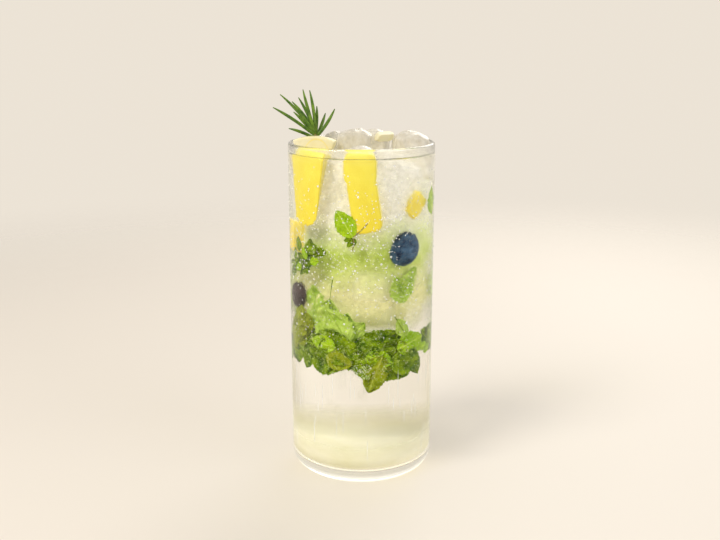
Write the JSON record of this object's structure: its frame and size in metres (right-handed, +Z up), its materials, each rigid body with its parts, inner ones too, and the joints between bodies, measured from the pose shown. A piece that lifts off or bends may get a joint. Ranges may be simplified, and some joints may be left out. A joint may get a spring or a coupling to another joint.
{
  "type": "iced mint and lemon drink in a highball glass",
  "caption": "Tall straight highball glass filled almost to the rim with an iced mint and lemon drink, with lemon, floating ice and a rosemary sprig at the top.",
  "frame": {"origin": "centre of the glass's flat foot, on the surface it stands on", "axes": "+Z up along the glass's axis; -Y towards the front, the side that shows the lemon and the berry; +X to the right seen from the front"},
  "size_m": [0.0705, 0.064, 0.171],
  "materials": {
    "glass": "clear polished glass, misted with condensation on the outside",
    "drink": "pale straw sparkling drink, cloudy with fine bubbles near the top",
    "ice": "wet, melting ice with a cloudy core",
    "lemon": "wet lemon, yellow skin with cream pith and flesh",
    "rosemary": "fresh green rosemary leaves, paler underneath",
    "mint": "fresh crinkled mint leaves, wet",
    "berry": "dark blue berry skin with a pale bloom"
  },
  "bodies": {
    "root": {"glass": "glass", "drink": "drink", "lemon_wedge": "lemon", "lemon_slice": "lemon", "lemon_peel": "lemon", "lemon_chip": "lemon", "rosemary": "rosemary", "ice_1": "ice", "ice_2": "ice", "ice_3": "ice", "ice_4": "ice", "ice_5": "ice", "ice_6": "ice", "ice_7": "ice", "ice_8": "ice", "ice_9": "ice"}
  },
  "joints": []
}
